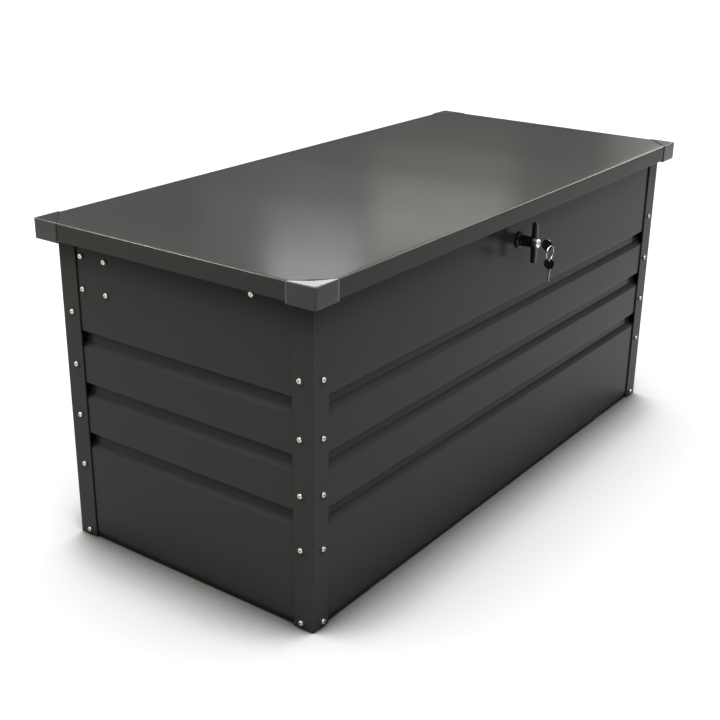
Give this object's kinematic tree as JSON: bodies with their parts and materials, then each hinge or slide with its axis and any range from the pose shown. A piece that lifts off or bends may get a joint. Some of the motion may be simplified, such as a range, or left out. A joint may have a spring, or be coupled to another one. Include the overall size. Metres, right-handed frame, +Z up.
{
  "type": "deck storage box",
  "caption": "Steel deck storage box: grooved walls bolted to corner posts, overhanging hinged lid on gas struts, and a T-handle cam lock with keys.",
  "frame": {"origin": "centre of the body's footprint, on the ground, at the bottom face of the middle floor bearer", "axes": "+X runs along the front from left to right, -Y faces the front with the lock, +Z is up"},
  "size_m": [1.332, 0.6725, 0.621],
  "materials": {
    "painted_sheet": "anthracite powder coat, satin, fine texture",
    "painted_frame": "anthracite powder coat, satin",
    "zinc_plated": "bright zinc plating",
    "bolt_steel": "bright zinc-plated pan heads",
    "black_rubber": "matt black rubber",
    "black_lock": "glossy black lacquer",
    "bright_metal": "polished nickel plating",
    "key_head": "black plastic key head over a steel blade",
    "strut_black": "black lacquered tube"
  },
  "bodies": {
    "body": {"end_wall_bolts": "bolt_steel", "end_wall_nuts": "zinc_plated", "end_wall_washers": "black_rubber", "floor_sheet": "zinc_plated", "front_left_post": "painted_frame", "front_panel": "painted_sheet", "front_rail": "zinc_plated", "front_right_post": "painted_frame", "hinge_body_leaves": "painted_frame", "hinge_bolts": "bolt_steel", "hinge_nuts": "zinc_plated", "hinge_pins": "bright_metal", "left_floor_bearer": "zinc_plated", "left_panel": "painted_sheet", "left_rail": "zinc_plated", "left_wall_bracket": "zinc_plated", "lid_bumpers": "black_rubber", "lock_nut": "zinc_plated", "lock_rosette": "black_lock", "middle_floor_bearer": "zinc_plated", "post_bolts": "bolt_steel", "post_nuts": "zinc_plated", "post_washers": "black_rubber", "rear_left_post": "painted_frame", "rear_panel": "painted_sheet", "rear_rail": "zinc_plated", "rear_right_post": "painted_frame", "right_floor_bearer": "zinc_plated", "right_panel": "painted_sheet", "right_rail": "zinc_plated", "right_wall_bracket": "zinc_plated"},
    "lid": {"lid_panel": "painted_sheet", "lid_front_rail": "zinc_plated", "lid_rear_rail": "zinc_plated", "lid_ribs": "zinc_plated", "front_left_cap": "painted_frame", "front_right_cap": "painted_frame", "rear_left_cap": "painted_frame", "rear_right_cap": "painted_frame", "hinge_lid_leaves": "painted_frame", "rim_bolts": "bolt_steel", "rim_nuts": "zinc_plated", "lid_catch": "zinc_plated", "left_lid_bracket": "zinc_plated", "right_lid_bracket": "zinc_plated"},
    "handle": {"t_handle": "black_lock", "lock_barrel": "bright_metal", "lock_spindle": "zinc_plated", "lock_cam": "zinc_plated", "cam_nut": "zinc_plated"},
    "plug": {"lock_plug": "bright_metal"},
    "key": {"lock_key": "key_head"},
    "ring": {"key_ring": "bright_metal"},
    "spare": {"spare_key": "key_head"},
    "left_cylinder": {"left_strut_cylinder": "strut_black"},
    "right_cylinder": {"right_strut_cylinder": "strut_black"},
    "left_rod": {"left_strut_rod": "bright_metal"},
    "right_rod": {"right_strut_rod": "bright_metal"}
  },
  "joints": [
    {"name": "lid_hinge", "type": "hinge", "parent": "body", "child": "lid", "pos_m": [0, 0.285, 0.584], "axis": [-1, 0, 0], "range_deg": [0, 75]},
    {"name": "handle_turn", "type": "hinge", "parent": "body", "child": "handle", "pos_m": [0, -0.283, 0.537], "axis": [0, 1, 0], "range_deg": [0, 90]},
    {"name": "plug_turn", "type": "hinge", "parent": "handle", "child": "plug", "pos_m": [0, -0.322, 0.537], "axis": [0, 1, 0], "range_deg": [0, 90]},
    {"name": "key_pull", "type": "slide", "parent": "plug", "child": "key", "axis": [0, -1, 0], "range_m": [0, 0.024]},
    {"name": "ring_swing", "type": "hinge", "parent": "key", "child": "ring", "pos_m": [0, -0.347, 0.537], "axis": [-1, 0, 0], "range_deg": [-12, 60]},
    {"name": "spare_swing", "type": "hinge", "parent": "ring", "child": "spare", "pos_m": [0, -0.347, 0.51], "axis": [-1, 0, 0], "range_deg": [-10, 60]},
    {"name": "left_cylinder_swing", "type": "hinge", "parent": "body", "child": "left_cylinder", "pos_m": [-0.613, 0.235, 0.455], "axis": [-1, 0, 0], "range_deg": [0, 38]},
    {"name": "left_rod_swing", "type": "hinge", "parent": "lid", "child": "left_rod", "pos_m": [-0.613, 0.14746, 0.599], "axis": [-1, 0, 0], "range_deg": [-38, 0]},
    {"name": "right_cylinder_swing", "type": "hinge", "parent": "body", "child": "right_cylinder", "pos_m": [0.613, 0.235, 0.455], "axis": [-1, 0, 0], "range_deg": [0, 38]},
    {"name": "right_rod_swing", "type": "hinge", "parent": "lid", "child": "right_rod", "pos_m": [0.613, 0.14746, 0.599], "axis": [-1, 0, 0], "range_deg": [-38, 0]}
  ],
  "couplings": [
    {"joint": "left_cylinder_swing", "follows": "lid_hinge", "ratio": 0.5},
    {"joint": "left_rod_swing", "follows": "lid_hinge", "ratio": -0.5},
    {"joint": "right_cylinder_swing", "follows": "lid_hinge", "ratio": 0.5},
    {"joint": "right_rod_swing", "follows": "lid_hinge", "ratio": -0.5}
  ]
}
